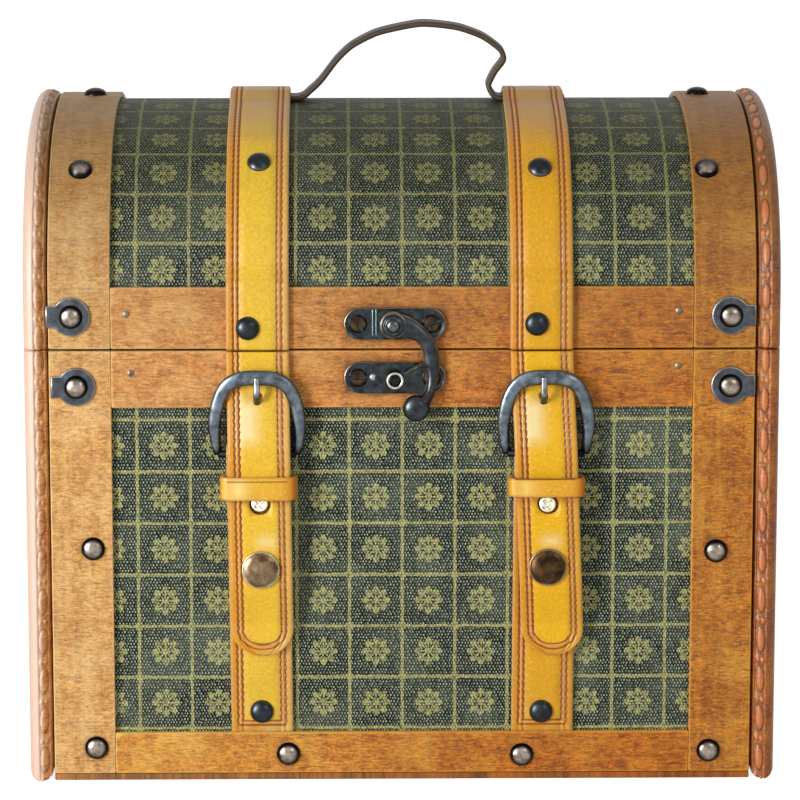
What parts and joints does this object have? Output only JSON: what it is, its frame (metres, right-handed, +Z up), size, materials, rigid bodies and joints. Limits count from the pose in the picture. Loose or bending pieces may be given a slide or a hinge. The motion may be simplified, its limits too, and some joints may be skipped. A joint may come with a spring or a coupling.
{
  "type": "dome top trunk",
  "caption": "Canvas covered wooden case with a hinged arched lid, nailed wooden bands, carved end moldings, buckled leather straps with snaps, a swing hook clasp and a bent leather handle.",
  "frame": {"origin": "centre of the bottom face, on the floor", "axes": "+X to the trunk's right as seen from its front, +Y to its back, +Z up"},
  "size_m": [0.2416, 0.1689, 0.2394],
  "materials": {
    "plain_wood": "bare thin board, matt",
    "honey_wood": "stained honey brown, worn satin",
    "carved_wood": "stained red brown, worn gloss",
    "canvas": "coated printed canvas, coarse weave",
    "strap_leather": "mustard yellow, stitched, worn at the edges",
    "handle_leather": "dark olive brown, waxed",
    "iron": "dark painted heads, semi gloss",
    "gunmetal": "blued, worn bright on the edges",
    "bronze": "aged, brown",
    "steel": "plain zinc"
  },
  "bodies": {
    "base": {"base_floor": "plain_wood", "base_front_board": "plain_wood", "base_back_board": "plain_wood", "base_left_end": "plain_wood", "base_right_end": "plain_wood", "base_canvas": "canvas", "base_front_left_post": "honey_wood", "base_front_right_post": "honey_wood", "base_front_top_rail": "honey_wood", "base_front_foot_rail": "honey_wood", "base_back_left_post": "honey_wood", "base_back_right_post": "honey_wood", "base_back_top_rail": "honey_wood", "base_back_foot_rail": "honey_wood", "base_left_molding": "carved_wood", "base_right_molding": "carved_wood", "base_left_tab": "iron", "base_right_tab": "iron", "lower_strap_left": "strap_leather", "lower_strap_right": "strap_leather", "keeper_left": "strap_leather", "keeper_right": "strap_leather", "strap_screw_left": "steel", "strap_screw_right": "steel", "snap_stud_left": "steel", "snap_stud_right": "steel", "catch_plate": "gunmetal", "catch_stud": "steel", "hinge_base_left": "bronze", "hinge_base_right": "bronze"},
    "lid": {"lid_shell": "plain_wood", "lid_left_end": "plain_wood", "lid_right_end": "plain_wood", "lid_canvas": "canvas", "lid_left_end_canvas": "canvas", "lid_right_end_canvas": "canvas", "lid_front_rail": "honey_wood", "lid_back_rail": "honey_wood", "lid_left_band": "honey_wood", "lid_right_band": "honey_wood", "lid_left_molding": "carved_wood", "lid_right_molding": "carved_wood", "lid_left_tab": "iron", "lid_right_tab": "iron", "upper_strap_left": "strap_leather", "upper_strap_right": "strap_leather", "handle": "handle_leather", "latch_plate": "gunmetal", "latch_pivot": "gunmetal", "hinge_lid_left": "bronze", "hinge_lid_right": "bronze"},
    "hook": {"latch_hook": "gunmetal"},
    "buckle_left": {"buckle_frame_left": "gunmetal"},
    "buckle_right": {"buckle_frame_right": "gunmetal"},
    "prong_left": {"buckle_prong_left": "gunmetal"},
    "prong_right": {"buckle_prong_right": "gunmetal"},
    "tail_left": {"strap_tail_left": "strap_leather", "snap_cap_left": "bronze"},
    "tail_right": {"strap_tail_right": "strap_leather", "snap_cap_right": "bronze"}
  },
  "joints": [
    {"name": "lid_hinge", "type": "hinge", "parent": "base", "child": "lid", "pos_m": [0, 0.0804, 0.142], "axis": [-1, 0, 0], "range_deg": [0, 100], "deforming": ["strap_tail_left", "strap_tail_right"]},
    {"name": "hook_pivot", "type": "hinge", "parent": "lid", "child": "hook", "pos_m": [-0.0024, -0.081, 0.1508], "axis": [0, -1, 0], "range_deg": [-27, 95]},
    {"name": "buckle_pivot_left", "type": "hinge", "parent": "base", "child": "buckle_left", "pos_m": [-0.0453, -0.0796, 0.1085], "axis": [1, 0, 0], "range_deg": [0, 70]},
    {"name": "buckle_pivot_right", "type": "hinge", "parent": "base", "child": "buckle_right", "pos_m": [0.0453, -0.0796, 0.1085], "axis": [1, 0, 0], "range_deg": [0, 70]},
    {"name": "prong_pivot_left", "type": "hinge", "parent": "buckle_left", "child": "prong_left", "pos_m": [-0.0453, -0.0796, 0.1085], "axis": [1, 0, 0], "range_deg": [0, 50]},
    {"name": "prong_pivot_right", "type": "hinge", "parent": "buckle_right", "child": "prong_right", "pos_m": [0.0453, -0.0796, 0.1085], "axis": [1, 0, 0], "range_deg": [0, 50]},
    {"name": "tail_root_left", "type": "hinge", "parent": "lid", "child": "tail_left", "pos_m": [-0.0453, -0.0805, 0.142], "axis": [-1, 0, 0], "range_deg": [0, 75]},
    {"name": "tail_root_right", "type": "hinge", "parent": "lid", "child": "tail_right", "pos_m": [0.0453, -0.0805, 0.142], "axis": [-1, 0, 0], "range_deg": [0, 75]}
  ]
}
